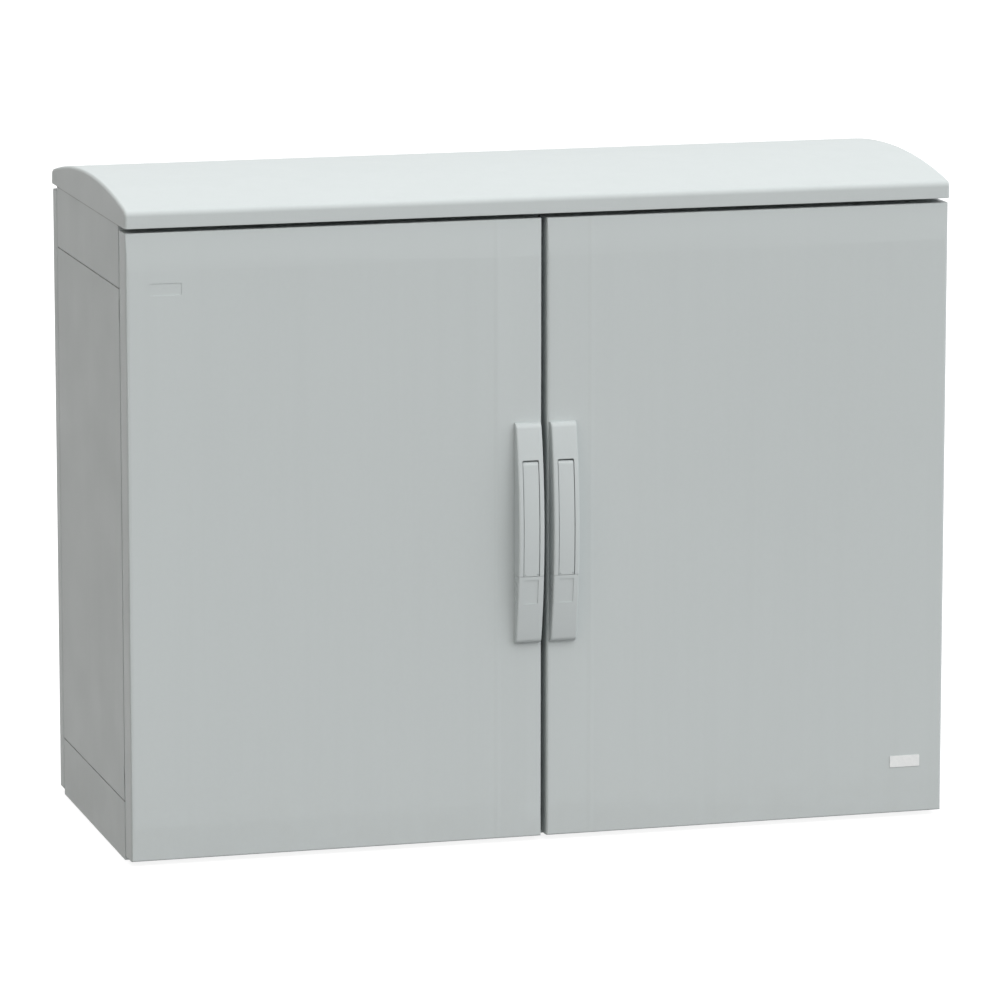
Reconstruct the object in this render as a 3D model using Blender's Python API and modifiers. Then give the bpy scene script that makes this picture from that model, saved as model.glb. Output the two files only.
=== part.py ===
"""Outdoor floor-standing electrical distribution cabinet with two doors, an
arched rain canopy and two swing handles, each with a covered lock drive.

Every dimension below is in millimetres in a drafting frame whose x runs from
the left door's outer face to the right, y from the doors' front face to the
back and z up from the underside of the base.  P() moves it to the model frame
in metres: x = 0 on the centre plane, y = 0 midway between the foremost and
rearmost points, z = 0 on the floor."""
import math

import bmesh
import bpy
from mathutils import Matrix, Vector

# ------------------------------------------------------------ main dimensions
WIDTH = 1001.4            # body and door pair
DEPTH_MID = 198.05        # y of the model frame's origin
DOOR_Z0, DOOR_Z1 = 6.0, 747.7
DOOR_DEPTH = 37.0
MEETING_EDGE = {"left": 498.1, "right": 504.6}   # the doors' facing edges
DOOR_WALL = 3.5
DOOR_CORNER = 4.5         # vertical front corners
DOOR_HEEL = 4.0           # rear outer corner, hinge side
BAND_TOP_Z, BAND_BOTTOM_Z, BAND_SET, TOP_SET = 703.0, 48.5, 1.2, 2.0
RIDGE_X, RIDGE_H = 444.0, 0.1   # faint vertical ridge near the meeting edge
BODY_Y0, BODY_Y1 = 38.4, 390.6
WALL = 4.0
JOINT_LOW, JOINT_HIGH, JOINT_HALF = 71.0, 679.1, 0.4
BODY_TOP = 753.0
BACK_Y0, BACK_Y1, BACK_Z0, BACK_Z1 = 391.4, 417.0, 6.1, 747.1
CANOPY_X, CANOPY_Y0, CANOPY_Y1 = 1.0, -1.7, 418.6
CANOPY_Z0, CANOPY_TOP = 753.4, 793.1
CANOPY_R, CANOPY_APEX_Y, CANOPY_WALL = 1075.0, 200.0, 3.0
# sealing frame
FRAME_Y0, FRAME_Y1 = 38.7, 42.4
LIP_Y, LIP_T = 10.0, 3.0
LIP_X0, LIP_X1, LIP_Z0, LIP_Z1 = 35.0, 455.0, 42.0, 709.0   # outer faces
# hinges
AXIS_X, AXIS_Y = 9.5, 16.0
HINGES = ((639.0, 666.0, "upper"), (85.0, 113.0, "lower"))
KNUCKLE_R, BORE_R, PIN_R = 5.0, 2.5, 2.15
# handles
HANDLE_X = {"left": 479.8, "right": 522.8}
HANDLE_HALF = 15.75
HANDLE_Z0, HANDLE_Z1, PARTING_Z = 242.4, 506.5, 325.4
END_T, BOW = 8.0, 14.5
PARTING_HALF = 0.2
LEVER_HALF, LEVER_TOP = 9.6, 461.6
PIVOT_Z, PIVOT_DEPTH = 457.2, 4.6
LOCK_Z = 311.0
CAP_TRAVEL = 25.0
# lock drive
MODULE, TEETH = 1.5, 8
PITCH_R = MODULE * TEETH / 2
GEAR_Y0, GEAR_Y1 = 16.0, 23.0
ROD_R, ROD_OFF = 3.5, 7.0
ROD_TOP_Z, ROD_BOTTOM_Z = 716.0, 35.0
CAM_LEN = 15.5

MM = 0.001
for ob in list(bpy.data.objects):
    bpy.data.objects.remove(ob, do_unlink=True)
for block in (bpy.data.meshes, bpy.data.curves, bpy.data.materials):
    for item in list(block):
        block.remove(item)
for old in list(bpy.data.collections):
    bpy.data.collections.remove(old)

PARTS = bpy.data.collections.new("outdoor_distribution_cabinet")
CUTS = bpy.data.collections.new("cutters")
bpy.context.scene.collection.children.link(PARTS)
bpy.context.scene.collection.children.link(CUTS)


def P(x, y, z):
    return Vector(((x - WIDTH / 2) * MM, (y - DEPTH_MID) * MM, z * MM))


def material(name, rgb, rough, metal=0.0):
    mat = bpy.data.materials.get(name)
    if mat:
        return mat
    mat = bpy.data.materials.new(name)
    mat.use_nodes = True
    node = mat.node_tree.nodes["Principled BSDF"]
    node.inputs["Base Color"].default_value = (*rgb, 1.0)
    node.inputs["Roughness"].default_value = rough
    node.inputs["Metallic"].default_value = metal
    mat.diffuse_color = (*rgb, 1.0)
    return mat


GREY = (0.50, 0.535, 0.535)
STEEL = (0.55, 0.55, 0.56)
DARK = (0.02, 0.02, 0.022)

ORIGIN = None      # set while the pieces of one moving body are made


def finish(name, mesh, cutter=False, smooth=True, mat=None, origin=None):
    """Object from a mesh given in the model frame, with its own origin."""
    at = Vector((0, 0, 0)) if origin is None else Vector(origin)
    mesh.transform(Matrix.Translation(-at))
    if smooth:
        mesh.shade_smooth()
        mesh.set_sharp_from_angle(angle=math.radians(28))
    ob = bpy.data.objects.new(name, mesh)
    ob.location = at
    (CUTS if cutter else PARTS).objects.link(ob)
    if cutter:
        ob.hide_render = True
        ob.display_type = "WIRE"
    elif mat is not None:
        own = mat.copy()
        own.name = name + "_finish"
        mesh.materials.clear()
        mesh.materials.append(own)
    return ob


def mesh_of(bm, name):
    bmesh.ops.recalc_face_normals(bm, faces=bm.faces)
    mesh = bpy.data.meshes.new(name)
    bm.to_mesh(mesh)
    bm.free()
    return mesh


def box_mesh(name, x0, x1, y0, y1, z0, z1, bevel=0.0):
    bm = bmesh.new()
    bmesh.ops.create_cube(bm, size=1.0)
    a, b = P(min(x0, x1), min(y0, y1), min(z0, z1)), P(max(x0, x1), max(y0, y1), max(z0, z1))
    size, mid = b - a, (a + b) / 2
    bmesh.ops.scale(bm, vec=size, verts=bm.verts)
    bmesh.ops.translate(bm, vec=mid, verts=bm.verts)
    if bevel:
        bmesh.ops.bevel(bm, geom=list(bm.edges), offset=bevel * MM, segments=1,
                        profile=0.5, affect="EDGES")
    return mesh_of(bm, name)


def cyl_mesh(name, axis, centre, r, lo, hi, seg=24, r2=None):
    """Cylinder or cone along 'x', 'y' or 'z' between lo and hi."""
    bm = bmesh.new()
    bmesh.ops.create_cone(bm, cap_ends=True, segments=seg, radius1=r * MM,
                          radius2=(r if r2 is None else r2) * MM, depth=abs(hi - lo) * MM)
    turn = {"z": Matrix.Identity(4), "x": Matrix.Rotation(math.pi / 2, 4, "Y"),
            "y": Matrix.Rotation(-math.pi / 2, 4, "X")}[axis]
    bmesh.ops.transform(bm, matrix=turn, verts=bm.verts)
    mid = (lo + hi) / 2
    at = {"x": (mid, centre[0], centre[1]), "y": (centre[0], mid, centre[1]),
          "z": (centre[0], centre[1], mid)}[axis]
    bmesh.ops.translate(bm, vec=P(*at), verts=bm.verts)
    return mesh_of(bm, name)


def rounded(points, radii, seg=5):
    """Outline with an arc of the given radius at each corner."""
    if not isinstance(radii, (list, tuple)):
        radii = [radii] * len(points)
    out = []
    for i, r in enumerate(radii):
        p0, p1, p2 = (Vector(points[i - 1]), Vector(points[i]),
                      Vector(points[(i + 1) % len(points)]))
        if r <= 0:
            out.append(tuple(p1))
            continue
        a, b = (p0 - p1).normalized(), (p2 - p1).normalized()
        half = math.acos(max(-1.0, min(1.0, a.dot(b)))) / 2
        cut = r / math.tan(half)
        mid = p1 + (a + b).normalized() * (r / math.sin(half))
        s, e = p1 + a * cut - mid, p1 + b * cut - mid
        t0 = math.atan2(s.y, s.x)
        dt = math.atan2(e.y, e.x) - t0
        dt = (dt + math.pi) % (2 * math.pi) - math.pi
        for k in range(seg + 1):
            t = t0 + dt * k / seg
            out.append((mid.x + r * math.cos(t), mid.y + r * math.sin(t)))
    return out


def rect(u0, u1, v0, v1, r=0.0, seg=5):
    pts = [(u0, v0), (u1, v0), (u1, v1), (u0, v1)]
    return rounded(pts, r, seg) if r else pts


def slab_mesh(name, outline, axis, lo, hi):
    """Flat outline extruded: (x, y) along z, (y, z) along x, (x, z) along y."""
    curve = bpy.data.curves.new(name + "_outline", "CURVE")
    curve.dimensions = "2D"
    curve.fill_mode = "BOTH"
    curve.extrude = abs(hi - lo) / 2 * MM
    spline = curve.splines.new("POLY")
    spline.points.add(len(outline) - 1)
    for point, (u, v) in zip(spline.points, outline):
        point.co = (u * MM, v * MM, 0.0, 1.0)
    spline.use_cyclic_u = True
    ob = bpy.data.objects.new(name + "_outline", curve)
    bpy.context.scene.collection.objects.link(ob)
    mid = (lo + hi) / 2 * MM
    cols = {"z": ((1, 0, 0), (0, 1, 0), (0, 0, 1)), "x": ((0, 1, 0), (0, 0, 1), (1, 0, 0)),
            "y": ((1, 0, 0), (0, 0, 1), (0, -1, 0))}[axis]
    rot = Matrix(cols).transposed().to_4x4()
    shift = {"z": (0, 0, mid), "x": (mid, 0, 0), "y": (0, mid, 0)}[axis]
    base = Matrix.Translation(P(0, 0, 0)) @ Matrix.Translation(shift) @ rot
    ob.matrix_world = base
    bpy.context.view_layer.update()
    deps = bpy.context.evaluated_depsgraph_get()
    mesh = bpy.data.meshes.new_from_object(ob.evaluated_get(deps))
    bm = bmesh.new()
    bm.from_mesh(mesh)
    bmesh.ops.remove_doubles(bm, verts=bm.verts, dist=1e-7)
    bmesh.ops.transform(bm, matrix=ob.matrix_world, verts=bm.verts)
    bpy.data.objects.remove(ob, do_unlink=True)
    bpy.data.curves.remove(curve)
    bpy.data.meshes.remove(mesh)
    return mesh_of(bm, name)


def loft_mesh(name, loops):
    """Closed skin over cross-sections that have equal point counts."""
    bm = bmesh.new()
    rings = [[bm.verts.new(P(*p)) for p in loop] for loop in loops]
    n = len(rings[0])
    for a, b in zip(rings, rings[1:]):
        for i in range(n):
            j = (i + 1) % n
            bm.faces.new((a[i], a[j], b[j], b[i]))
    bm.faces.new(rings[0])
    bm.faces.new(list(reversed(rings[-1])))
    return mesh_of(bm, name)


COUNT = [0]


def combine(ob, meshes, operation):
    for mesh in meshes:
        COUNT[0] += 1
        cutter = finish("cut_%03d_%s" % (COUNT[0], ob.name[:30]), mesh, cutter=True,
                        smooth=True)
        mod = ob.modifiers.new("%s_%d" % (operation.lower(), COUNT[0]), "BOOLEAN")
        mod.operation = operation
        mod.solver = "EXACT"
        mod.object = cutter
    return ob


def cut(ob, *meshes):
    return combine(ob, meshes, "DIFFERENCE")


def add(ob, *meshes):
    return combine(ob, meshes, "UNION")


def soften(ob, width, segments=2, angle=50):
    mod = ob.modifiers.new("edge", "BEVEL")
    mod.width = width * MM
    mod.segments = segments
    mod.limit_method = "ANGLE"
    mod.angle_limit = math.radians(angle)
    mod.use_clamp_overlap = True
    mod.harden_normals = False
    return ob


def bow(z):
    """Handle thickness at height z: an arc between the two ends."""
    half = (HANDLE_Z1 - HANDLE_Z0) / 2
    mid = (HANDLE_Z1 + HANDLE_Z0) / 2
    big = (half * half + BOW * BOW) / (2 * BOW)
    d = min(abs(z - mid), half)
    return END_T + BOW - (big - math.sqrt(big * big - d * d))


def steps(lo, hi, n):
    return [lo + (hi - lo) * k / n for k in range(n + 1)]


# =========================================================== fixed enclosure
grp = material("grp_grey", GREY, 0.45)
grp_in = material("grp_grey_inner", (0.46, 0.49, 0.49), 0.6)
steel = material("zinc_steel", STEEL, 0.35, 1.0)
stainless = material("stainless", (0.6, 0.6, 0.6), 0.25, 1.0)
rubber = material("seal_rubber", DARK, 0.8)
nylon = material("nylon_black", (0.03, 0.03, 0.032), 0.5)
pale = material("blank_plate", (0.80, 0.81, 0.80), 0.4)

# base frame: four walls on an inward foot flange, recessed behind the doors
base = finish("base_frame", box_mesh("base", 0, WIDTH, BODY_Y0, BODY_Y1, 0, JOINT_LOW - JOINT_HALF),
              mat=grp)
cut(base,
    box_mesh("hollow", WALL, WIDTH - WALL, FRAME_Y1 + 0.3 + WALL, BODY_Y1 - WALL, 5, 90),
    slab_mesh("foot_window", rect(45, WIDTH - 45, BODY_Y0 + 45, BODY_Y1 - 45, 12, 3), "z", -5, 20),
    box_mesh("front_pocket", WALL + 0.15, WIDTH - WALL - 0.15, 20, FRAME_Y1 + 0.3, 3.6, 90),
    box_mesh("doorway", 2 * WALL, WIDTH - 2 * WALL, 20, 50, LIP_Z0 + 2, 90))
for cx in (22.0, WIDTH - 22.0):
    for cy in (110.0, 320.0):
        cut(base, slab_mesh("anchor_slot", rect(cx - 6, cx + 6, cy - 14, cy + 14, 5.9, 2),
                            "z", -5, 20))

# top frame: four walls under a vented deck
top = finish("top_frame", box_mesh("top", 0, WIDTH, BODY_Y0, BODY_Y1, JOINT_HIGH + JOINT_HALF, BODY_TOP),
             mat=grp)
cut(top,
    box_mesh("hollow", WALL, WIDTH - WALL, FRAME_Y1 + 0.3 + WALL, BODY_Y1 - WALL, 600,
             BODY_TOP - WALL),
    box_mesh("front_pocket", WALL + 0.15, WIDTH - WALL - 0.15, 20, FRAME_Y1 + 0.3, 600, 745.5),
    box_mesh("doorway", 2 * WALL, WIDTH - 2 * WALL, 20, 50, 600, LIP_Z1 - 2))
BOLT_SPOTS = ((90.0, 100.0), (910.0, 100.0), (90.0, 320.0), (910.0, 320.0))
for cx, cy in BOLT_SPOTS:
    cut(top, cyl_mesh("bolt_hole", "z", (cx, cy), 4.5, 740, 760, 10))
for k in range(4):
    cx = 290 + k * 140.0
    cut(top, slab_mesh("vent_slot", rect(cx - 45, cx + 45, 212, 220, 2, 1), "z", 740, 760))

# side panels with joggled tongues that lap inside the two frames
for side in ("left", "right"):
    def sx(x, side=side):
        return x if side == "left" else WIDTH - x
    panel = finish("side_panel_" + side,
                   box_mesh("panel", sx(0), sx(WALL), BODY_Y0, BODY_Y1,
                            JOINT_LOW + JOINT_HALF, JOINT_HIGH - JOINT_HALF), mat=grp)
    for z0, z1, za, zb in ((JOINT_HIGH - 22, JOINT_HIGH + 18, JOINT_HIGH - 22, JOINT_HIGH - 2),
                           (JOINT_LOW - 18, JOINT_LOW + 22, JOINT_LOW + 2, JOINT_LOW + 22)):
        add(panel, box_mesh("tongue", sx(WALL + 0.3), sx(WALL + 3.3), 60, 370, z0, z1))
        add(panel, box_mesh("web", sx(WALL - 1), sx(WALL + 3.3), 60, 370, za, zb))
    for z0, z1, tag in HINGES:
        cut(panel, box_mesh("hinge_slot", sx(-2), sx(WALL + 2), BODY_Y0 - 2, BODY_Y0 + 2.0, z0, z1))

# back cover: a shallow tray closing the rear
back_outline = rounded([(0, BACK_Y0), (WIDTH, BACK_Y0), (WIDTH, BACK_Y1), (0, BACK_Y1)],
                       [0, 0, 3, 3], 3)
back = finish("back_cover", slab_mesh("back", back_outline, "z", BACK_Z0, BACK_Z1), mat=grp)
soften(back, 1.2)
cut(back, box_mesh("tray", 3.5, WIDTH - 3.5, BACK_Y0 - 10, BACK_Y1 - 3.5,
                   BACK_Z0 + 3.5, BACK_Z1 - 3.5))
for x0, x1 in ((-5, 0.7), (WIDTH - 0.7, WIDTH + 5)):
    cut(back, box_mesh("side_groove", x0, x1, 393.6, 395.0, 0, 760))

# sealing frame around the two openings, with a raised lip for each door
frame = finish("front_frame",
               slab_mesh("frame", rect(WALL + 0.45, WIDTH - WALL - 0.45, 4, 744, 3, 2), "y",
                         FRAME_Y0, FRAME_Y1), mat=grp_in)
for side in ("left", "right"):
    def sx(x, side=side):
        return x if side == "left" else WIDTH - x
    a, b = sorted((sx(LIP_X0), sx(LIP_X1)))
    add(frame, slab_mesh("lip", rect(a, b, LIP_Z0, LIP_Z1, 8, 3), "y", LIP_Y, FRAME_Y1))
for side in ("left", "right"):
    def sx(x, side=side):
        return x if side == "left" else WIDTH - x
    a, b = sorted((sx(LIP_X0), sx(LIP_X1)))
    cut(frame, slab_mesh("opening", rect(a + LIP_T, b - LIP_T, LIP_Z0 + LIP_T, LIP_Z1 - LIP_T, 5, 3),
                         "y", 0, 60))
    xc = HANDLE_X[side]
    cut(frame, slab_mesh("cam_slot", rect(xc - 8, xc + 8, LOCK_Z - 20, LOCK_Z + 9.5, 3, 2), "y",
                         30, 60))

# seal strip down the meeting line of the doors
seal_outline = [(494.8, 37.45), (498.95, 37.45), (498.95, 27), (500.1, 25.4), (502.6, 25.4),
                (503.75, 27), (503.75, 37.45), (507.9, 37.45), (507.9, 38.35), (494.8, 38.35)]
finish("centre_seal", slab_mesh("centre_seal", seal_outline, "z", 12, 742), mat=rubber)

# arched canopy with bosses for its bolts
def arc_z(y, drop=0.0):
    return CANOPY_TOP - CANOPY_R + math.sqrt((CANOPY_R - drop) ** 2 - (y - CANOPY_APEX_Y) ** 2)


def hood(y0, y1, z0, drop, r, n=16):
    pts = [(y1, z0), (y0, z0)]
    rad = [0, 0]
    ys = steps(y0, y1, n)
    for k, y in enumerate(ys):
        pts.append((y, arc_z(y, drop)))
        rad.append(r if k in (0, n) else 0)
    return rounded(pts, rad, 4)


def round_rims(mesh, floor_z, r, seg):
    """Rounds the rim of both end faces, all but its lower edge."""
    bm = bmesh.new()
    bm.from_mesh(mesh)
    bmesh.ops.dissolve_limit(bm, angle_limit=math.radians(0.05), verts=bm.verts, edges=bm.edges)
    far = max(v.co.x for v in bm.verts) - 1e-6
    rim = [e for e in bm.edges if min(abs(v.co.x) for v in e.verts) > far
           and e.verts[0].co.x * e.verts[1].co.x > 0
           and max(v.co.z for v in e.verts) > floor_z * MM + 1e-5]
    bmesh.ops.bevel(bm, geom=rim, offset=r * MM, segments=seg, profile=0.5, affect="EDGES",
                    clamp_overlap=False)
    bmesh.ops.triangulate(bm, faces=[f for f in bm.faces if len(f.verts) > 4])
    return mesh_of(bm, "rounded")


canopy = finish("canopy", round_rims(slab_mesh("canopy", hood(CANOPY_Y0, CANOPY_Y1, CANOPY_Z0, 0, 8.0),
                                               "x", -CANOPY_X, WIDTH + CANOPY_X),
                                     CANOPY_Z0, 4.0, 3), mat=grp)
soften(canopy, 1.6, 2, 60)
cut(canopy, slab_mesh("inside", hood(CANOPY_Y0 + CANOPY_WALL, CANOPY_Y1 - CANOPY_WALL,
                                     CANOPY_Z0 - 20, CANOPY_WALL, 5.0), "x",
                      -CANOPY_X + CANOPY_WALL, WIDTH + CANOPY_X - CANOPY_WALL))
for cx, cy in BOLT_SPOTS:
    add(canopy, cyl_mesh("boss", "z", (cx, cy), 10, CANOPY_Z0, 786.2 if cy < 200 else 784.8, 12))
for cx, cy in BOLT_SPOTS:
    cut(canopy, cyl_mesh("boss_bore", "z", (cx, cy), 4.5, CANOPY_Z0 - 5, 777, 10))
for k, (cx, cy) in enumerate(BOLT_SPOTS):
    bolt = finish("canopy_bolt_%d" % (k + 1), cyl_mesh("head", "z", (cx, cy), 7.5, 743.4, 748.8, 6),
                  mat=steel)
    add(bolt, cyl_mesh("shank", "z", (cx, cy), 4.0, 746, 774, 10))

# equipment plate on two uprights
for side in ("left", "right"):
    def sx(x, side=side):
        return x if side == "left" else WIDTH - x
    up = [(60, 386.2), (60, 366), (96, 366), (96, 386.2), (92, 386.2), (92, 370), (64, 370),
          (64, 386.2)]
    rail = finish("mounting_rail_" + side,
                  slab_mesh("rail", [(sx(x), y) for x, y in up], "z", 8, 745), mat=steel)
    for z in (110.0, 640.0):
        cut(rail, cyl_mesh("hole", "y", (sx(78), z), 4.4, 350, 380, 10))
plate = finish("mounting_plate", slab_mesh("plate", rect(66, WIDTH - 66, 85, 665, 6, 2), "y",
                                           362.6, 365.6), mat=steel)
for side in ("left", "right"):
    for tag, z in (("upper", 640.0), ("lower", 110.0)):
        cx = 78.0 if side == "left" else WIDTH - 78.0
        cut(plate, cyl_mesh("socket", "y", (cx, z), 4.4, 364.0, 375, 10))
        bolt = finish("plate_bolt_%s_%s" % (side, tag),
                      cyl_mesh("head", "y", (cx, z), 7.5, 370.3, 375.9, 6), mat=steel)
        add(bolt, cyl_mesh("shank", "y", (cx, z), 3.95, 364.3, 380, 10))

# ==================================================================== doors
def pinion_outline(cx, cz):
    """Involute teeth of a small pinion, one tooth lying along +x."""
    add_h, ded_h = 1.15, 1.35
    base_r = PITCH_R * math.cos(math.radians(20))
    half = 0.42 * math.pi * MODULE / (2 * PITCH_R)
    inv = lambda a: math.tan(a) - a
    pts = []
    for k in range(TEETH):
        c = 2 * math.pi * k / TEETH
        def off(r):
            a = math.acos(min(1.0, base_r / max(r, base_r)))
            return half + inv(math.radians(20)) - inv(a)
        radii = [PITCH_R - ded_h, base_r, (base_r + PITCH_R + add_h) / 2, PITCH_R + add_h]
        for r in radii:
            pts.append((r, c - off(r)))
        for r in reversed(radii):
            pts.append((r, c + off(r)))
    return [(cx + r * math.cos(t), cz + r * math.sin(t)) for r, t in pts]


def rack_outline(cx, cz, way, z_far):
    """Rack on the side `way` of the pinion; its bar runs on to z_far."""
    pitch = math.pi * MODULE
    slope = math.tan(math.radians(20))
    tip, root, spine = PITCH_R - 0.9, PITCH_R + 1.4, PITCH_R + 4.0
    up = 1 if z_far > cz else -1
    teeth = [pitch * (k + 0.5) for k in range(-4, 2)]      # from the free end to the bar
    pts = [(spine, teeth[0] - pitch / 2), (root, teeth[0] - pitch / 2)]
    for t in teeth:
        wide, thin = 0.21 * pitch + 1.4 * slope, 0.21 * pitch - 0.9 * slope
        pts += [(root, t - wide), (tip, t - thin), (tip, t + thin), (root, t + wide)]
    pts += [(root, abs(z_far - cz)), (spine, abs(z_far - cz))]
    return [(cx + way * u, cz + up * v) for u, v in pts]


for side in ("left", "right"):
    s = 1 if side == "left" else -1

    def sx(x, side=side):
        return x if side == "left" else WIDTH - x

    AX = sx(AXIS_X)
    hinge_at = P(AX, AXIS_Y, (DOOR_Z0 + DOOR_Z1) / 2)
    W1 = sx(MEETING_EDGE[side])
    xc = HANDLE_X[side]
    name = side + "_"

    # ---- shell
    plan = rounded([(sx(0), DOOR_DEPTH), (sx(0), 0), (sx(RIDGE_X - 4), 0), (sx(RIDGE_X), -RIDGE_H),
                    (sx(RIDGE_X + 4), 0), (sx(W1), 0), (sx(W1), DOOR_DEPTH)],
                   [DOOR_HEEL, DOOR_CORNER, 0, 0, 0, DOOR_CORNER, 1.0], 6)
    shell = finish(name + "door_shell", slab_mesh("door", plan, "z", DOOR_Z0, DOOR_Z1),
                   mat=grp, origin=hinge_at)
    cut(shell, slab_mesh("cavity", rounded([(sx(DOOR_WALL), 60), (sx(DOOR_WALL), DOOR_WALL),
                                            (sx(W1 - DOOR_WALL), DOOR_WALL),
                                            (sx(W1 - DOOR_WALL), 60)], [0, 0.9, 0.9, 0], 3), "z",
                         DOOR_Z0 + DOOR_WALL, DOOR_Z1 - DOOR_WALL))
    a, b = sorted((sx(-5), sx(W1 + 3)))
    tilt_hi = (TOP_SET - 0.05) / (DOOR_Z1 - 1.6 - BAND_TOP_Z)
    tilt_lo = (BAND_SET - 0.05) / (BAND_BOTTOM_Z - DOOR_Z0 - 1.6)
    cut(shell, slab_mesh("top_band", [(-4, BAND_TOP_Z - 6), (-6 * tilt_hi, BAND_TOP_Z - 6),
                                      (TOP_SET - 0.05, DOOR_Z1 - 1.6), (TOP_SET + 0.3, DOOR_Z1 - 0.7),
                                      (TOP_SET + 1.2, DOOR_Z1 + 0.02), (TOP_SET + 1.2, DOOR_Z1 + 4),
                                      (-4, DOOR_Z1 + 4)], "x", a, b),
        slab_mesh("bottom_band", [(-4, BAND_BOTTOM_Z + 6), (-6 * tilt_lo, BAND_BOTTOM_Z + 6),
                                  (BAND_SET - 0.05, DOOR_Z0 + 1.6), (BAND_SET + 0.3, DOOR_Z0 + 0.7),
                                  (BAND_SET + 1.2, DOOR_Z0 - 0.02), (BAND_SET + 1.2, DOOR_Z0 - 4),
                                  (-4, DOOR_Z0 - 4)], "x", a, b))
    for z in (220.0, 400.0, 560.0):
        a, b = sorted((sx(60), sx(430)))
        add(shell, slab_mesh("rib", [(a, 2), (a + (4 if b > a else -4), 8), (b - (4 if b > a else -4), 8), (b, 2)],
                             "z", z - 1.75, z + 1.75))
    for z0, z1, tag in HINGES:
        cut(shell, box_mesh("notch", sx(-2), sx(DOOR_WALL + 3), DOOR_DEPTH - 2.6, DOOR_DEPTH + 2,
                            z0, z1))
    cut(shell, cyl_mesh("spindle_hole", "y", (xc, LOCK_Z), 4.6, -5, 10, 16))
    for z in (344.0, 488.0):
        cut(shell, cyl_mesh("stud_hole", "y", (xc, z), 3.4, -5, 10, 10))
    if side == "left":
        cut(shell, slab_mesh("label_recess", rect(28.1, 66.2, 674.5, 688.8, 1.5, 3), "y", -3, 0.65))

    # ---- seal bedded on the inner face, facing the frame's lip
    a, b = sorted((sx(32.6), sx(457.4)))
    seal = finish(name + "door_gasket",
                  slab_mesh("seal", rect(a, b, LIP_Z0 - 2.4, LIP_Z1 + 2.4, 10, 3), "y",
                            DOOR_WALL + 0.3, LIP_Y - 0.4), mat=rubber, origin=hinge_at)
    cut(seal, slab_mesh("inner", rect(a + 7.8, b - 7.8, LIP_Z0 + 5.4, LIP_Z1 - 5.4, 3, 2), "y", -5, 30))

    # ---- hinges
    def rel(u, v):
        return (sx(AXIS_X + u), AXIS_Y + v)

    for z0, z1, tag in HINGES:
        start = math.atan2(-2.2, math.sqrt(KNUCKLE_R ** 2 - 2.2 ** 2))
        arc = [(KNUCKLE_R * math.cos(t), KNUCKLE_R * math.sin(t))
               for t in steps(start, 1.5 * math.pi, 14)]
        outline = [(25.2, 20.0), (22.1, 20.0), (22.1, -2.2)] + arc + [(25.2, -5.0)]
        leaf = finish(name + "hinge_arm_" + tag,
                      slab_mesh("arm", [rel(u, v) for u, v in outline], "z", z0 + 0.6, z1 - 0.6),
                      mat=stainless)
        cut(leaf, cyl_mesh("bore", "z", (AX, AXIS_Y), BORE_R, z0 - 5, z1 + 5, 12))

        wing = finish(name + "hinge_leaf_" + tag,
                      box_mesh("wing", sx(AXIS_X - 5.2), sx(AXIS_X + 12), AXIS_Y - 12.2,
                               AXIS_Y - 10.2, z0 - 15, z1 + 15), mat=stainless, origin=hinge_at)
        for za, zb in ((z0 - 15, z0 + 0.2), (z1 - 0.2, z1 + 15)):
            add(wing, box_mesh("neck", sx(AXIS_X - 2.5), sx(AXIS_X + 3.5), AXIS_Y - 11, AXIS_Y,
                               za, zb))
            add(wing, cyl_mesh("knuckle", "z", (AX, AXIS_Y), KNUCKLE_R, za, zb, 16))
        cut(wing, cyl_mesh("bore", "z", (AX, AXIS_Y), BORE_R, z0 - 30, z1 + 30, 12))
        pin = finish(name + "hinge_pin_" + tag,
                     cyl_mesh("pin", "z", (AX, AXIS_Y), PIN_R, z0 - 17, z1 + 17, 12), mat=steel,
                     origin=hinge_at)
        add(pin, cyl_mesh("pin_head", "z", (AX, AXIS_Y), 4.2, z1 + 15.4, z1 + 18, 12))

    # ---- handle: housing above the parting line, with the tongue the cap runs on
    def section(z, half, front, back, r, n=3):
        """Handle cross-section: flat back, rounded front edges."""
        r = min(r, (front - back) * 0.45, half * 0.9)
        pts = rounded([(xc - half, -back), (xc - half, -front), (xc + half, -front),
                       (xc + half, -back)], [0, r, r, 0], n)
        return [(x, y, z) for x, y in pts]

    END_R = 6.0

    def end_drop(d):
        return END_R - math.sqrt(max(0.0, END_R ** 2 - (END_R - d) ** 2)) if d < END_R else 0.0

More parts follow.
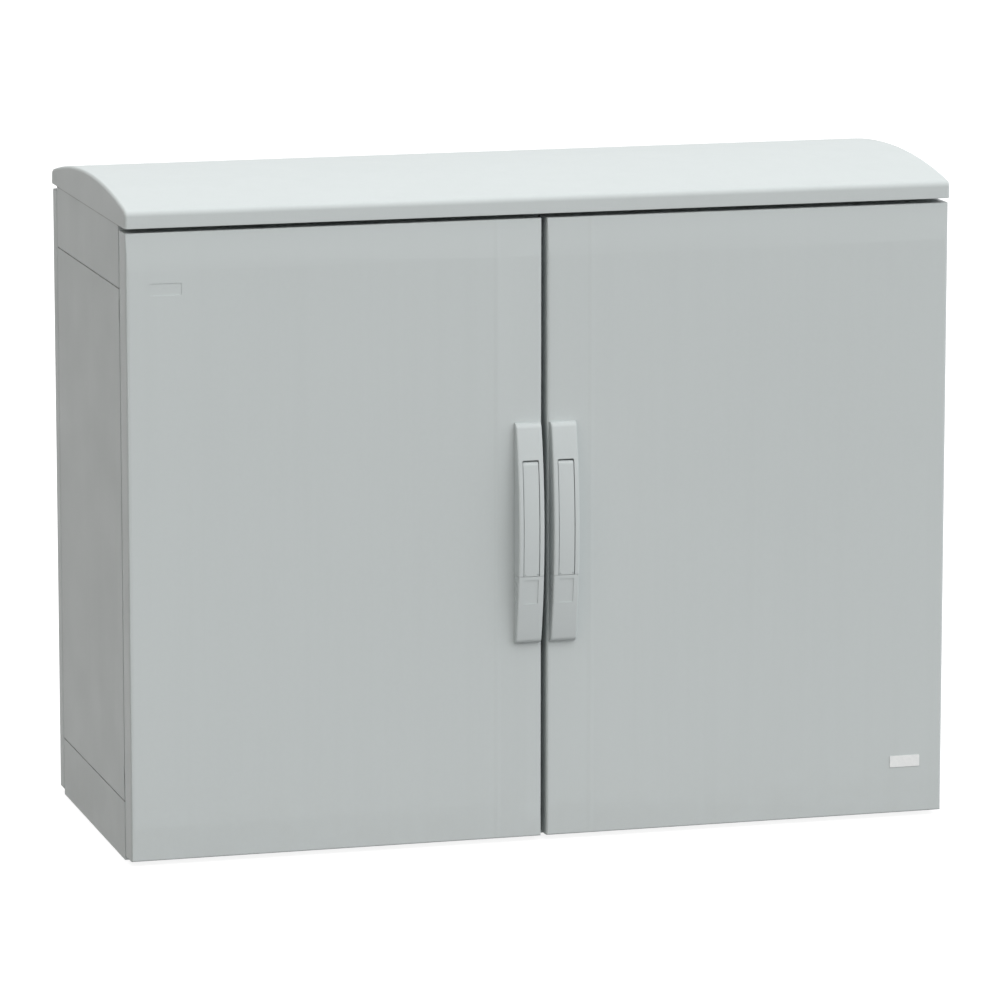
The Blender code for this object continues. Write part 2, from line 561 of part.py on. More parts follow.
    zs = steps(PARTING_Z + PARTING_HALF, HANDLE_Z1 - END_R, 14)
    tip = [HANDLE_Z1 - END_R * (1 - math.sin(t)) for t in steps(0, math.pi / 2, 4)][1:]
    body = finish(name + "handle_housing",
                  loft_mesh("housing", [section(z, HANDLE_HALF, bow(z) - end_drop(HANDLE_Z1 - z),
                                                0.3, 2.2) for z in zs + tip]),
                  mat=grp, origin=hinge_at)
    gap = 0.5
    cut(body, loft_mesh("lever_pocket",
                        [[(xc - LEVER_HALF - gap, -bow(z) + 9.5, z), (xc - LEVER_HALF - gap, -30, z),
                          (xc + LEVER_HALF + gap, -30, z), (xc + LEVER_HALF + gap, -bow(z) + 9.5, z)]
                         for z in steps(PARTING_Z - 4, LEVER_TOP + 0.2, 10)]
                        + [[(xc - h, -bow(z) + 9.5, z), (xc - h, -30, z), (xc + h, -30, z),
                            (xc + h, -bow(z) + 9.5, z)]
                           for z, h in ((LEVER_TOP + 0.2 + 1.8 * math.sin(t),
                                         LEVER_HALF + gap - 1.8 * (1 - math.cos(t)))
                                        for t in steps(0, math.pi / 2, 3)[1:])]))
    add(body, slab_mesh("tongue", [(xc - 10.8, -0.3), (xc - 10.8, -2.2), (xc - 12.6, -2.2),
                                   (xc - 12.6, -5.0), (xc + 12.6, -5.0), (xc + 12.6, -2.2),
                                   (xc + 10.8, -2.2), (xc + 10.8, -0.3)], "z", 249.5, 332))
    add(body, cyl_mesh("lock_boss", "y", (xc, LOCK_Z), 9.0, -11, -2, 20))
    cut(body, cyl_mesh("lock_bore", "y", (xc, LOCK_Z), 6.8, -15, 5, 20))
    pz, py = PIVOT_Z, -(bow(PIVOT_Z) - PIVOT_DEPTH)
    cut(body, cyl_mesh("pivot_hole", "x", (py, pz), 1.85, xc - 13.8, xc + 13.8, 10))
    for z in (344.0, 488.0):
        add(body, cyl_mesh("stud", "y", (xc, z), 3.0, -3 if z > 400 else -5, 9, 10))

    # ---- swing lever
    pivot = P(xc, py, pz)
    heel = PIVOT_DEPTH - 0.1
    lever_loops = []
    for z in steps(PARTING_Z + 0.3, PIVOT_Z, 10):
        lever_loops.append(section(z, LEVER_HALF, bow(z) - 0.1, bow(z) - 7.2, 1.3, 2))
    top_z = [PIVOT_Z + (LEVER_TOP - PIVOT_Z) * math.sin(t) for t in steps(0, math.pi / 2 * 0.94, 5)][1:]
    for z in top_z:
        h = math.sqrt(max(0.0, (LEVER_TOP - PIVOT_Z + 0.1) ** 2 - (z - PIVOT_Z) ** 2))
        deep = -py + max(-2.5, -h)
        lever_loops.append(section(z, LEVER_HALF, -py + h, deep, 1.2, 2))
    lever = finish(name + "handle_lever", loft_mesh("lever", lever_loops), mat=grp, origin=pivot)
    cut(lever, cyl_mesh("pivot_bore", "x", (py, pz), 1.75, xc - 20, xc + 20, 10))
    for dx in (-7.6, 7.6):
        cut(lever, cyl_mesh("dimple", "y", (xc + dx, PARTING_Z + 2.0), 0.9, -30, -bow(328) + 1.6, 8))
    finish(name + "lever_pin", cyl_mesh("lever_pin", "x", (py, pz), 1.5, xc - 13.4, xc + 13.4, 10),
           mat=steel, origin=hinge_at)

    # ---- sliding lock cap below the parting line
    cap_at = P(xc, -10, LOCK_Z)
    tip = [HANDLE_Z0 + END_R * (1 - math.cos(t)) for t in steps(0, math.pi / 2, 4)][:-1]
    zs = steps(HANDLE_Z0 + END_R, PARTING_Z - PARTING_HALF, 7)
    cap = finish(name + "lock_cap",
                 loft_mesh("cap", [section(z, HANDLE_HALF, bow(z) - end_drop(z - HANDLE_Z0), 0.3, 2.2)
                                   for z in tip + zs]), mat=grp, origin=cap_at)
    cut(cap, loft_mesh("cap_hollow",
                       [[(xc - 13.1, 3, z), (xc - 13.1, -bow(z) + 2.5, z),
                         (xc + 13.1, -bow(z) + 2.5, z), (xc + 13.1, 3, z)]
                        for z in steps(HANDLE_Z0 + 3.4, PARTING_Z + 3, 5)]))
    for e in (-1, 1):
        a, b = sorted((xc + e * 11.2, xc + e * 14.0))
        add(cap, box_mesh("runner", a, b, -1.7, -0.6, 249, 321))
    cut(cap, loft_mesh("pad", [[(xc - 8.75, -30, z), (xc - 8.75, -bow(z) + 0.8, z),
                                (xc + 8.75, -bow(z) + 0.8, z), (xc + 8.75, -30, z)]
                               for z in steps(291.8, 320.9, 2)]))
    for e in (-1, 1):
        for k in range(4):
            z = 290.0 + 8.45 * k
            bar = box_mesh("groove", xc + e * (HANDLE_HALF - 1.5), xc + e * (HANDLE_HALF + 2),
                           -16.0, -6.0, z - 0.9, z + 0.9)
            mid = P(xc, -10.2, z)
            tilt = Matrix.Translation(mid) @ Matrix.Rotation(math.radians(38), 4, "X") @ \
                Matrix.Translation(-mid)
            bar.transform(tilt)
            cut(cap, bar)

    # ---- lock spindle: key insert, shaft, pinion and cam in one turning piece
    spin_at = P(xc, 0, LOCK_Z)
    spindle = finish(name + "lock_spindle", cyl_mesh("insert", "y", (xc, LOCK_Z), 6.4, -10.7, -1.0, 20),
                     mat=steel, origin=spin_at)
    cut(spindle, cyl_mesh("key_well", "y", (xc, LOCK_Z), 4.7, -14, -5.5, 16))
    add(spindle, cyl_mesh("key_post", "y", (xc, LOCK_Z), 1.7, -10.2, -5.0, 10),
        slab_mesh("key_bit", rect(xc - 3.6, xc + 3.6, LOCK_Z - 0.8, LOCK_Z + 0.8, 0), "y",
                  -10.1, -5.0),
        cyl_mesh("shaft", "y", (xc, LOCK_Z), 4.0, -2.0, 47.4, 16),
        slab_mesh("pinion", pinion_outline(xc, LOCK_Z), "y", GEAR_Y0, GEAR_Y1),
        slab_mesh("cam", rounded([(xc - 5.5, LOCK_Z + 6), (xc - 5.5, LOCK_Z - CAM_LEN),
                                  (xc + 5.5, LOCK_Z - CAM_LEN), (xc + 5.5, LOCK_Z + 6)],
                                 [5.4, 2, 2, 5.4], 3), "y", 43.2, 46.4))

    # ---- gear case on the door's inner face
    case = finish(name + "gear_case",
                  box_mesh("case", xc - 12.2, xc + 12.2, 10, 29, LOCK_Z - 28, LOCK_Z + 28),
                  mat=nylon, origin=hinge_at)
    cut(case, box_mesh("chamber", xc - 10.6, xc + 10.6, 12.6, 26.4, LOCK_Z - 40, LOCK_Z + 40))
    cut(case, cyl_mesh("shaft_hole", "y", (xc, LOCK_Z), 4.5, 5, 35, 16))
    for e in (-1, 1):
        for f in (-1, 1):
            add(case, cyl_mesh("foot", "y", (xc + e * 8.6, LOCK_Z + f * 23.5), 2.8,
                               DOOR_WALL + 0.3, 11, 8))

    # ---- rods with racks, and their guides
    mid_y = (GEAR_Y0 + GEAR_Y1) / 2
    for tag, way, z_end, z_turn in (("upper", s, ROD_TOP_Z, LOCK_Z + 31),
                                    ("lower", -s, ROD_BOTTOM_Z, LOCK_Z - 31)):
        rx = xc + way * ROD_OFF
        rod = finish(name + "lock_rod_" + tag,
                     slab_mesh("rack", rack_outline(xc, LOCK_Z, way, z_turn + (4 if way == s else -4)),
                               "y", mid_y - 3, mid_y + 3), mat=steel,
                     origin=P(rx, mid_y, z_end))
        a, b = sorted((z_turn, z_end))
        up = 1 if tag == "upper" else -1
        add(rod, cyl_mesh("bar", "z", (rx, mid_y), ROD_R, min(z_turn, z_end - up * 4),
                          max(z_turn, z_end - up * 4), 12),
            cyl_mesh("point", "z", (rx, mid_y), ROD_R if up > 0 else 2.0,
                     min(z_end, z_end - up * 4.5), max(z_end, z_end - up * 4.5), 12,
                     2.0 if up > 0 else ROD_R))
        gz = 620.0 if tag == "upper" else 130.0
        guide = finish(name + "rod_guide_" + tag,
                       slab_mesh("guide", rounded([(rx - s * 9, DOOR_WALL + 0.3),
                                                   (rx - s * 9, DOOR_WALL + 3.5),
                                                   (rx - s * 6.0, DOOR_WALL + 3.5),
                                                   (rx - s * 4.4, 26), (rx + s * 4.4, 26),
                                                   (rx + s * 4.4, DOOR_WALL + 0.3)],
                                                  [0, 0, 0, 3.5, 3.5, 0], 2), "z", gz - 4, gz + 4),
                       mat=nylon, origin=hinge_at)
        cut(guide, cyl_mesh("guide_hole", "z", (rx, mid_y), ROD_R + 0.35, gz - 10, gz + 10, 12))
        # keeper on the fixed frame beyond the end of the rod
        k0, k1 = ((z_end + 2.4, z_end + 6.4) if up > 0 else (z_end - 6.4, z_end - 2.4))
        ka, kb = (rx - 8.6, rx + 5.2) if s > 0 else (rx - 5.2, rx + 8.6)
        keeper = finish(name + "rod_keeper_" + tag,
                        box_mesh("keeper", ka, kb, mid_y - 7.5, FRAME_Y0 - 0.3, k0, k1),
                        mat=steel)
        add(keeper, box_mesh("foot", ka, kb, FRAME_Y0 - 3.3, FRAME_Y0 - 0.3,
                             min(k0, k0 + up * 14), max(k0, k0 + up * 14)))
        cut(keeper, cyl_mesh("keeper_hole", "z", (rx, mid_y), ROD_R + 0.6, k0 - 5, k1 + 5, 12))

# blank rating plate, low on the right door
finish("label_plate", slab_mesh("label", rect(935.3, 972.8, 62.6, 76.6, 1.2, 3), "y", -0.75, -0.3),
       mat=pale, origin=P(WIDTH - AXIS_X, AXIS_Y, (DOOR_Z0 + DOOR_Z1) / 2))
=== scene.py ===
import math

import bpy
from mathutils import Matrix, Vector

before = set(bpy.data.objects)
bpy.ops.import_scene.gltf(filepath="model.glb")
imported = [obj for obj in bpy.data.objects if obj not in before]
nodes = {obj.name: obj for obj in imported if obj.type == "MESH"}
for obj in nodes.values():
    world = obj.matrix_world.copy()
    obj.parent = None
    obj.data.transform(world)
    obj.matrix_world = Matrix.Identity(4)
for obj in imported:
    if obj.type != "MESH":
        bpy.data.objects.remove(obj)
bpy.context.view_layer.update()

# ------------------------------------------------------------------- camera
scene = bpy.context.scene
scene.view_settings.view_transform = "Standard"
scene.view_settings.look = "None"
cam_data = bpy.data.cameras.new("camera")
cam_data.lens = 223.29
cam_data.sensor_width = 36.0
cam_data.sensor_fit = "HORIZONTAL"
cam_data.clip_start, cam_data.clip_end = 0.1, 200.0
cam = bpy.data.objects.new("camera", cam_data)
scene.collection.objects.link(cam)
forward = Vector((0.263502, 0.947332, -0.182015)).normalized()
right = Vector((0.963424, -0.267981, 0.0)).normalized()
up = right.cross(forward).normalized()
rot = Matrix((right, up, -forward)).transposed()
cam.matrix_world = Matrix.Translation((-1.97716, -7.11252, 1.74372)) @ rot.to_4x4()
scene.camera = cam

# ------------------------------------------------------------------- lights
# A soft tent: brighter above than below, brighter and cooler on the right.
world = bpy.data.worlds.new("studio")
world.use_nodes = True
wt = world.node_tree
bg = wt.nodes["Background"]
wtc = wt.nodes.new("ShaderNodeTexCoord")
wsep = wt.nodes.new("ShaderNodeSeparateXYZ")
wt.links.new(wtc.outputs["Generated"], wsep.inputs[0])


def wrange(value, a, b, lo, hi):
    m = wt.nodes.new("ShaderNodeMapRange")
    m.inputs["From Min"].default_value = a
    m.inputs["From Max"].default_value = b
    m.inputs["To Min"].default_value = lo
    m.inputs["To Max"].default_value = hi
    wt.links.new(value, m.inputs["Value"])
    return m.outputs["Result"]


above = wrange(wsep.outputs["Z"], -0.2, 0.2, 0.0, 1.0)
across = wrange(wsep.outputs["X"], -1.0, 1.0, 0.179, 1.161)
wmul = wt.nodes.new("ShaderNodeMath")
wmul.operation = "MULTIPLY"
wt.links.new(above, wmul.inputs[0])
wt.links.new(across, wmul.inputs[1])
wadd = wt.nodes.new("ShaderNodeMath")
wadd.operation = "ADD"
wt.links.new(wmul.outputs[0], wadd.inputs[0])
wt.links.new(wrange(wsep.outputs["X"], -1.0, 1.0, 0.06, 0.342), wadd.inputs[1])
wt.links.new(wadd.outputs[0], bg.inputs["Strength"])
wmix = wt.nodes.new("ShaderNodeMix")
wmix.data_type = "RGBA"
wmix.inputs[6].default_value = (1.035, 1.0, 0.968, 1.0)
wmix.inputs[7].default_value = (0.992, 1.0, 1.008, 1.0)
wt.links.new(wrange(wsep.outputs["X"], -0.5, 0.2, 0.0, 1.0), wmix.inputs[0])
wt.links.new(wmix.outputs[2], bg.inputs["Color"])
scene.world = world


def sun(name, direction, strength, angle, color=(1, 1, 1)):
    data = bpy.data.lights.new(name, "SUN")
    data.energy = strength
    data.angle = math.radians(angle)
    data.color = color
    ob = bpy.data.objects.new(name, data)
    scene.collection.objects.link(ob)
    d = Vector(direction).normalized()
    ob.rotation_mode = "QUATERNION"
    ob.rotation_quaternion = d.to_track_quat("Z", "Y")
    ob.location = d * 4
    return ob


sun("front_softbox", (0.30, -1.0, 1.0), 0.93, 50)
sun("top_softbox", (0.10, 0.15, 1.0), 0.75, 40)
sun("left_fill", (-1.0, -0.80, 0.40), 0.47, 50, (1.03, 1.0, 0.97))

# -------------------------------------------------------- shading of the CAD
def group(name):
    ng = bpy.data.node_groups.new(name, "GeometryNodeTree")
    ng.interface.new_socket("Geometry", in_out="INPUT", socket_type="NodeSocketGeometry")
    ng.interface.new_socket("Geometry", in_out="OUTPUT", socket_type="NodeSocketGeometry")
    return ng, ng.nodes.new("NodeGroupInput"), ng.nodes.new("NodeGroupOutput")


def weld_group():
    ng, gi, go = group("weld_faces")
    rm = ng.nodes.new("GeometryNodeRemoveAttribute")
    rm.inputs["Name"].default_value = "custom_normal"
    mg = ng.nodes.new("GeometryNodeMergeByDistance")
    mg.inputs["Distance"].default_value = 2e-6
    ng.links.new(gi.outputs[0], rm.inputs["Geometry"])
    ng.links.new(rm.outputs[0], mg.inputs["Geometry"])
    ng.links.new(mg.outputs[0], go.inputs[0])
    return ng


def shade_group(limit):
    ng, gi, go = group("shade_by_angle")
    sm = ng.nodes.new("GeometryNodeSetShadeSmooth")
    sm.domain = "FACE"
    sm.inputs["Shade Smooth"].default_value = True
    ang = ng.nodes.new("GeometryNodeInputMeshEdgeAngle")
    cmp_ = ng.nodes.new("FunctionNodeCompare")
    cmp_.data_type = "FLOAT"
    cmp_.operation = "GREATER_THAN"
    cmp_.inputs[1].default_value = math.radians(limit)
    se = ng.nodes.new("GeometryNodeSetShadeSmooth")
    se.domain = "EDGE"
    se.inputs["Shade Smooth"].default_value = False
    ng.links.new(gi.outputs[0], sm.inputs["Geometry"])
    ng.links.new(ang.outputs["Unsigned Angle"], cmp_.inputs[0])
    ng.links.new(sm.outputs[0], se.inputs["Geometry"])
    ng.links.new(cmp_.outputs[0], se.inputs["Selection"])
    ng.links.new(se.outputs[0], go.inputs[0])
    return ng


WELD = weld_group()
SHADE = shade_group(38)


def refine(ob, bevel=0.0, segments=2, angle=45):
    m = ob.modifiers.new("weld", "NODES")
    m.node_group = WELD
    if bevel:
        b = ob.modifiers.new("edges", "BEVEL")
        b.width = bevel * 0.001
        b.segments = segments
        b.limit_method = "ANGLE"
        b.angle_limit = math.radians(angle)
        b.use_clamp_overlap = True
        b.miter_outer = "MITER_ARC"
        b.harden_normals = False
    s = ob.modifiers.new("shade", "NODES")
    s.node_group = SHADE
    w = ob.modifiers.new("flat_faces", "WEIGHTED_NORMAL")
    w.mode = "FACE_AREA_WITH_ANGLE"
    w.weight = 90
    w.keep_sharp = True


# ---------------------------------------------------------------- materials
def new_mat(name):
    mat = bpy.data.materials.new(name)
    mat.use_nodes = True
    nt = mat.node_tree
    return mat, nt, nt.nodes["Principled BSDF"]


def coords(nt, scale=(1, 1, 1), offset=(0, 0, 0)):
    tc = nt.nodes.new("ShaderNodeTexCoord")
    mp = nt.nodes.new("ShaderNodeMapping")
    mp.inputs["Scale"].default_value = scale
    mp.inputs["Location"].default_value = offset
    nt.links.new(tc.outputs["Object"], mp.inputs["Vector"])
    return mp.outputs["Vector"]


def noise(nt, vec, scale, detail=3.0, rough=0.55, distort=0.0):
    n = nt.nodes.new("ShaderNodeTexNoise")
    n.inputs["Scale"].default_value = scale
    n.inputs["Detail"].default_value = detail
    n.inputs["Roughness"].default_value = rough
    n.inputs["Distortion"].default_value = distort
    nt.links.new(vec, n.inputs["Vector"])
    return n.outputs["Fac"]


def remap(nt, value, a, b, lo, hi):
    m = nt.nodes.new("ShaderNodeMapRange")
    m.inputs["From Min"].default_value = a
    m.inputs["From Max"].default_value = b
    m.inputs["To Min"].default_value = lo
    m.inputs["To Max"].default_value = hi
    nt.links.new(value, m.inputs["Value"])
    return m.outputs["Result"]


def math_node(nt, op, a, b):
    m = nt.nodes.new("ShaderNodeMath")
    m.operation = op
    for sock, v in zip(m.inputs, (a, b)):
        if isinstance(v, (int, float)):
            sock.default_value = v
        else:
            nt.links.new(v, sock)
    return m.outputs[0]


def mix(nt, fac, c1, c2, mode="MIX"):
    m = nt.nodes.new("ShaderNodeMix")
    m.data_type = "RGBA"
    m.blend_type = mode
    for sock, v in ((m.inputs[0], fac), (m.inputs[6], c1), (m.inputs[7], c2)):
        if isinstance(v, (int, float)):
            sock.default_value = v
        elif isinstance(v, tuple):
            sock.default_value = (*v, 1.0) if len(v) == 3 else v
        else:
            nt.links.new(v, sock)
    return m.outputs[2]


def bump(nt, height, strength, distance, normal=None):
    b = nt.nodes.new("ShaderNodeBump")
    b.inputs["Strength"].default_value = strength
    b.inputs["Distance"].default_value = distance
    nt.links.new(height, b.inputs["Height"])
    if normal is not None:
        nt.links.new(normal, b.inputs["Normal"])
    return b.outputs["Normal"]


def scaled(c, k):
    return tuple(min(1.0, v * k) for v in c)


def along(nt, axis):
    """One object-space coordinate, in metres."""
    tc = nt.nodes.new("ShaderNodeTexCoord")
    sep = nt.nodes.new("ShaderNodeSeparateXYZ")
    nt.links.new(tc.outputs["Object"], sep.inputs[0])
    return sep.outputs[axis]


def polyester(name, color, rough=0.5, grain=1.0, seed=0.0, spec=0.28, ridges=(), painted_highlight_band=None,
              splash=0.0, seams=()):
    """Light grey moulded glass-fibre polyester: faint cloudy tone, fibre print
    a few millimetres across, the fine grain of the mould, rain streaks and a
    little dust thrown up from the ground."""
    mat, nt, p = new_mat(name)
    v = coords(nt, offset=(seed, seed * 0.7, seed * 1.3))
    cloud = noise(nt, v, 3.2, 3.0, 0.5)
    base = mix(nt, remap(nt, cloud, 0.3, 0.7, 0, 1), scaled(color, 0.99), scaled(color, 1.01))
    fibre = noise(nt, v, 240.0, 4.0, 0.62, 0.6)
    base = mix(nt, remap(nt, fibre, 0.35, 0.7, 0.0, 0.45), base, scaled(color, 1.03))
    streaks = noise(nt, coords(nt, scale=(60, 60, 1.6), offset=(seed, 0, 0)), 1.0, 4.0, 0.6)
    base = mix(nt, remap(nt, streaks, 0.45, 0.8, 0.0, 0.35), base, scaled(color, 0.965))
    speck = nt.nodes.new("ShaderNodeTexVoronoi")
    speck.inputs["Scale"].default_value = 160.0
    nt.links.new(v, speck.inputs["Vector"])
    dot = remap(nt, speck.outputs["Distance"], 0.0, 0.09, 0.30, 0.0)
    base = mix(nt, dot, base, scaled(color, 0.93))
    # Painted highlight: above this height the door colour is made slightly lighter, standing in for the
    # extra light the upward-tilted top band catches.
    if painted_highlight_band is not None:
        base = mix(nt, remap(nt, along(nt, 2), painted_highlight_band - 0.0008, painted_highlight_band + 0.0008, 0.0, 1.0), base,
                   mix(nt, 0.5, base, scaled(color, 1.025)))
    if splash:
        low = remap(nt, along(nt, 2), 0.0, 0.11, 1.0, 0.0)
        dirt = math_node(nt, "MULTIPLY", low, remap(nt, noise(nt, v, 26.0, 5.0, 0.65), 0.35, 0.75,
                                                    0.0, splash))
        base = mix(nt, dirt, base, (0.36, 0.35, 0.32))
    # Painted shade: the body colour is darkened in narrow strips at the seam heights, standing in for
    # the shadow inside the joints and under the canopy overhang; the noise only varies how strong it is.
    if seams:
        z = along(nt, 2)
        painted_seam_shade = None
        for at, wide in seams:
            d = math_node(nt, "ABSOLUTE", math_node(nt, "SUBTRACT", z, at), 0.0)
            g = remap(nt, d, wide * 0.5, wide, 1.0, 0.0)
            painted_seam_shade = g if painted_seam_shade is None else math_node(nt, "ADD", painted_seam_shade, g)
        painted_seam_shade = math_node(nt, "MULTIPLY", painted_seam_shade, remap(nt, noise(nt, v, 40.0, 3.0), 0.3, 0.7, 0.35, 0.6))
        base = mix(nt, painted_seam_shade, base, (0.13, 0.13, 0.125))
    nt.links.new(base, p.inputs["Base Color"])
    r = noise(nt, v, 14.0, 4.0, 0.6)
    rr = remap(nt, r, 0.3, 0.7, rough - 0.04, rough + 0.05)
    scuff = noise(nt, coords(nt, scale=(30, 30, 420), offset=(seed, seed, 0)), 1.0, 3.0, 0.7, 0.8)
    rr = math_node(nt, "ADD", rr, remap(nt, scuff, 0.62, 0.75, 0.0, -0.05))
    nt.links.new(rr, p.inputs["Roughness"])
    fine = noise(nt, v, 1500.0, 2.0, 0.5)
    wave = noise(nt, v, 55.0, 2.0, 0.5)
    n1 = bump(nt, wave, 0.10 * grain, 0.0006)
    n2 = bump(nt, fine, 0.20 * grain, 0.00012, n1)
    if ridges:
        x = along(nt, 0)
        total = None
        for xr in ridges:
            d = math_node(nt, "ABSOLUTE", math_node(nt, "SUBTRACT", x, xr), 0.0)
            h = remap(nt, d, 0.0006, 0.0042, 1.0, 0.0)
            total = h if total is None else math_node(nt, "ADD", total, h)
        n2 = bump(nt, total, 1.0, 0.00026, n2)
    nt.links.new(n2, p.inputs["Normal"])
    p.inputs["Specular IOR Level"].default_value = spec
    return mat


def plated(name, color, rough, tint=(0.70, 0.69, 0.62)):
    """Zinc plating: small crystal spangle, a little yellow passivation, fine
    rolling lines and a few duller patches."""
    mat, nt, p = new_mat(name)
    v = coords(nt)
    cell = nt.nodes.new("ShaderNodeTexVoronoi")
    cell.inputs["Scale"].default_value = 130.0
    nt.links.new(v, cell.inputs["Vector"])
    sep = nt.nodes.new("ShaderNodeSeparateColor")
    nt.links.new(cell.outputs["Color"], sep.inputs[0])
    tone = sep.outputs[0]
    base = mix(nt, remap(nt, tone, 0.0, 1.0, 0.0, 0.5), color, scaled(color, 0.86))
    hue = noise(nt, v, 6.0, 3.0)
    base = mix(nt, remap(nt, hue, 0.4, 0.75, 0.0, 0.25), base, tint)
    nt.links.new(base, p.inputs["Base Color"])
    p.inputs["Metallic"].default_value = 1.0
    dull = remap(nt, noise(nt, v, 18.0, 4.0), 0.35, 0.7, -0.03, 0.05)
    rr = math_node(nt, "ADD", remap(nt, tone, 0.0, 1.0, rough - 0.03, rough + 0.05), dull)
    nt.links.new(rr, p.inputs["Roughness"])
    lines = noise(nt, coords(nt, scale=(900, 900, 14)), 1.0, 3.0, 0.6)
    nt.links.new(bump(nt, lines, 0.10, 0.00003), p.inputs["Normal"])
    return mat


def brushed(name, color, rough):
    mat, nt, p = new_mat(name)
    v = coords(nt, scale=(30, 30, 900))
    lines = noise(nt, v, 1.0, 4.0, 0.7)
    nt.links.new(mix(nt, remap(nt, lines, 0.3, 0.7, 0, 1), scaled(color, 0.86), color),
                 p.inputs["Base Color"])
    p.inputs["Metallic"].default_value = 1.0
    nt.links.new(remap(nt, lines, 0.3, 0.7, rough - 0.06, rough + 0.1), p.inputs["Roughness"])
    nt.links.new(bump(nt, lines, 0.12, 0.00006), p.inputs["Normal"])
    return mat


def dark_soft(name, color, rough, scale=500.0, strength=0.3):
    mat, nt, p = new_mat(name)
    v = coords(nt)
    a = noise(nt, v, 22.0, 4.0, 0.6)
    nt.links.new(mix(nt, remap(nt, a, 0.3, 0.75, 0, 1), color, scaled(color, 1.25)),
                 p.inputs["Base Color"])
    nt.links.new(remap(nt, a, 0.3, 0.7, rough - 0.08, rough + 0.08), p.inputs["Roughness"])
    nt.links.new(bump(nt, noise(nt, v, scale, 3.0), strength, 0.0001), p.inputs["Normal"])
    return mat


BASE = (0.54, 0.58, 0.58)
BODY = BASE
# The door's top band above z 0.703 gets a painted highlight.
M_DOOR = polyester("polyester_door", BASE, 0.50, 1.0, 0.0, ridges=(-0.0569, 0.0578), painted_highlight_band=0.703,
                   splash=0.10)
# seams lists the heights where the body panels get painted seam shade.
M_BODY = polyester("polyester_body", BODY, 0.52, 1.1, 1.7, splash=0.12,
                   seams=((0.071, 0.0013), (0.6791, 0.0013), (0.7530, 0.0012)))
M_BACK = polyester("polyester_back", BODY, 0.52, 1.1, 2.3, splash=0.12)
M_CANOPY = polyester("polyester_canopy", BASE, 0.50, 1.0, 3.1)
M_HANDLE = polyester("polyamide_handle", (0.545, 0.585, 0.587), 0.46, 0.7, 5.3)
M_INNER = polyester("polyester_inner", (0.50, 0.535, 0.535), 0.58, 1.6, 7.9)
M_ZINC = plated("zinc_plate", (0.60, 0.61, 0.62), 0.46)
M_STAINLESS = brushed("stainless_brushed", (0.66, 0.66, 0.65), 0.26)
M_RUBBER = dark_soft("seal_rubber", (0.045, 0.046, 0.045), 0.75)
M_STRIP = dark_soft("meeting_strip", (0.22, 0.23, 0.225), 0.7)
M_NYLON = dark_soft("black_nylon", (0.022, 0.022, 0.024), 0.45, 900.0, 0.2)


def blank_label(name):
    mat, nt, p = new_mat(name)
    v = coords(nt)
    a = noise(nt, v, 300.0, 4.0, 0.6)
    nt.links.new(mix(nt, remap(nt, a, 0.3, 0.7, 0, 1), (0.78, 0.80, 0.80), (0.84, 0.855, 0.85)),
                 p.inputs["Base Color"])
    nt.links.new(remap(nt, a, 0.3, 0.7, 0.3, 0.42), p.inputs["Roughness"])
    nt.links.new(bump(nt, noise(nt, v, 1200.0, 2.0), 0.1, 0.00005), p.inputs["Normal"])
    return mat


M_LABEL = blank_label("blank_plate")


def finish_for(n):
    if n in ("left_door_shell", "right_door_shell"):
        return M_DOOR, 0.0
    if n == "canopy":
        return M_CANOPY, 0.0
    if n in ("base_frame", "top_frame"):
        return M_BODY, 0.4
    if n.startswith("side_panel"):
        return M_BODY, 0.3
    if n == "back_cover":
        return M_BACK, 0.0
    if n == "front_frame":
        return M_INNER, 0.5
    if "handle_housing" in n or "lock_cap" in n:
        return M_HANDLE, 0.0
    if "handle_lever" in n:
        return M_HANDLE, 0.0
    if n == "centre_seal":
        return M_STRIP, 0.0
    if "gasket" in n:
        return M_RUBBER, 0.0
    if "gear_case" in n or "rod_guide" in n:
        return M_NYLON, 0.4
    if "hinge_arm" in n or "hinge_leaf" in n:
        return M_STAINLESS, 0.3
    if n == "label_plate":
        return M_LABEL, 0.0
    if "keeper" in n or "rail" in n:
        return M_ZINC, 0.35
    return M_ZINC, 0.0


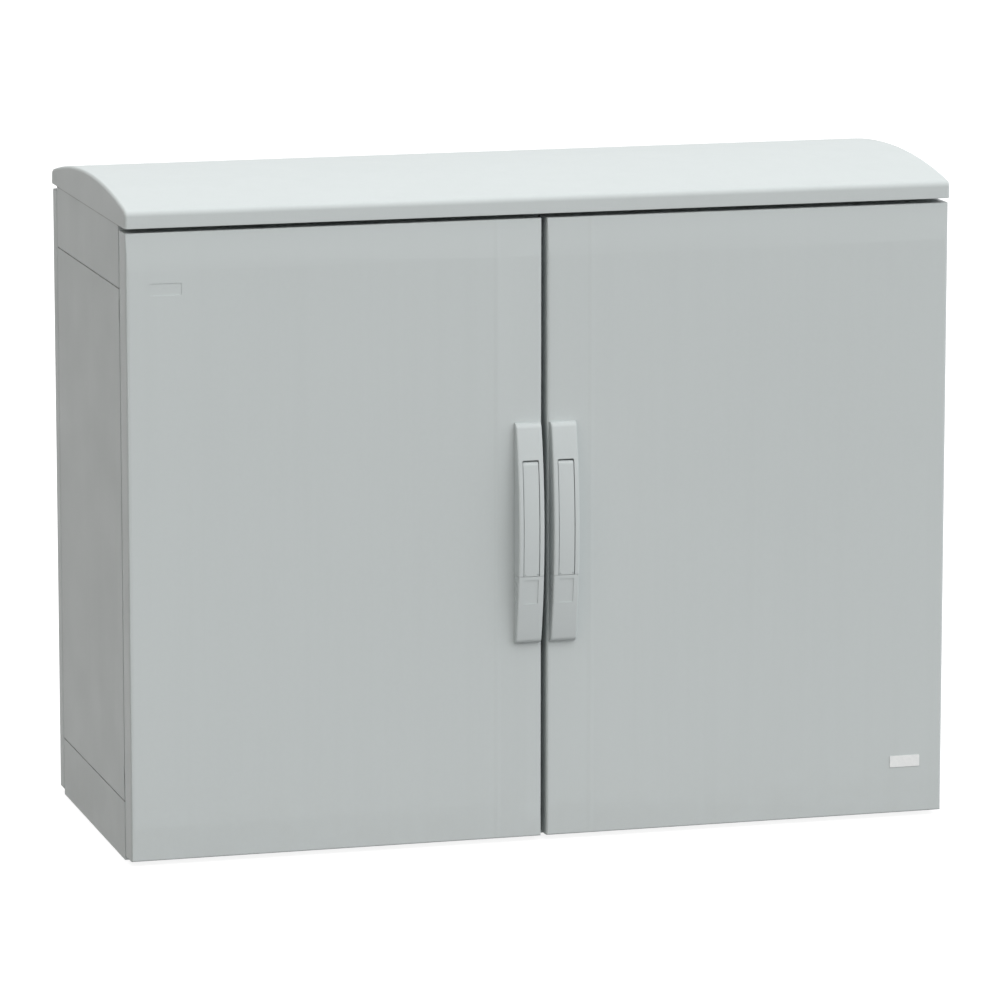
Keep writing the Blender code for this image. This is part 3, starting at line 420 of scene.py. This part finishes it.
for n, ob in nodes.items():
    mat, bev = finish_for(n)
    for slot in ob.material_slots:
        slot.material = mat
    if not ob.material_slots:
        ob.data.materials.append(mat)
    refine(ob, bev)

# -------------------------------------------------------------------- floor
def make_floor():
    me = bpy.data.meshes.new("floor")
    s = 60.0
    me.from_pydata([(-s, -s, 0), (s, -s, 0), (s, s, 0), (-s, s, 0)], [], [(0, 1, 2, 3)])
    ob = bpy.data.objects.new("floor", me)
    ob.location.z = -0.0005
    scene.collection.objects.link(ob)
    mat, nt, p = new_mat("pale_floor")
    v = coords(nt)
    a = noise(nt, v, 1.5, 3.0)
    nt.links.new(mix(nt, a, (0.29, 0.29, 0.29), (0.31, 0.31, 0.31)), p.inputs["Base Color"])
    p.inputs["Roughness"].default_value = 0.9
    p.inputs["Specular IOR Level"].default_value = 0.1
    p.inputs["Emission Color"].default_value = (1.0, 1.0, 1.0, 1.0)
    p.inputs["Emission Strength"].default_value = 0.84
    me.materials.append(mat)
    ob.visible_diffuse = False
    return ob


make_floor()


# A white wall far behind everything, seen by the camera only.
def make_backdrop():
    n, r, top = 96, 58.0, 40.0
    ring = [(r * math.cos(2 * math.pi * k / n), r * math.sin(2 * math.pi * k / n)) for k in range(n)]
    verts = [(x, y, -0.5) for x, y in ring] + [(x, y, top) for x, y in ring]
    faces = [(k, k + n, (k + 1) % n + n, (k + 1) % n) for k in range(n)]
    me = bpy.data.meshes.new("backdrop")
    me.from_pydata(verts, [], faces)
    ob = bpy.data.objects.new("backdrop", me)
    scene.collection.objects.link(ob)
    mat, nt, p = new_mat("white_backdrop")
    p.inputs["Base Color"].default_value = (0.0, 0.0, 0.0, 1.0)
    p.inputs["Specular IOR Level"].default_value = 0.0
    p.inputs["Emission Color"].default_value = (1.0, 1.0, 1.0, 1.0)
    p.inputs["Emission Strength"].default_value = 1.0
    me.materials.append(mat)
    ob.visible_diffuse = False
    ob.visible_glossy = False
    ob.visible_transmission = False
    ob.visible_shadow = False
    return ob


make_backdrop()
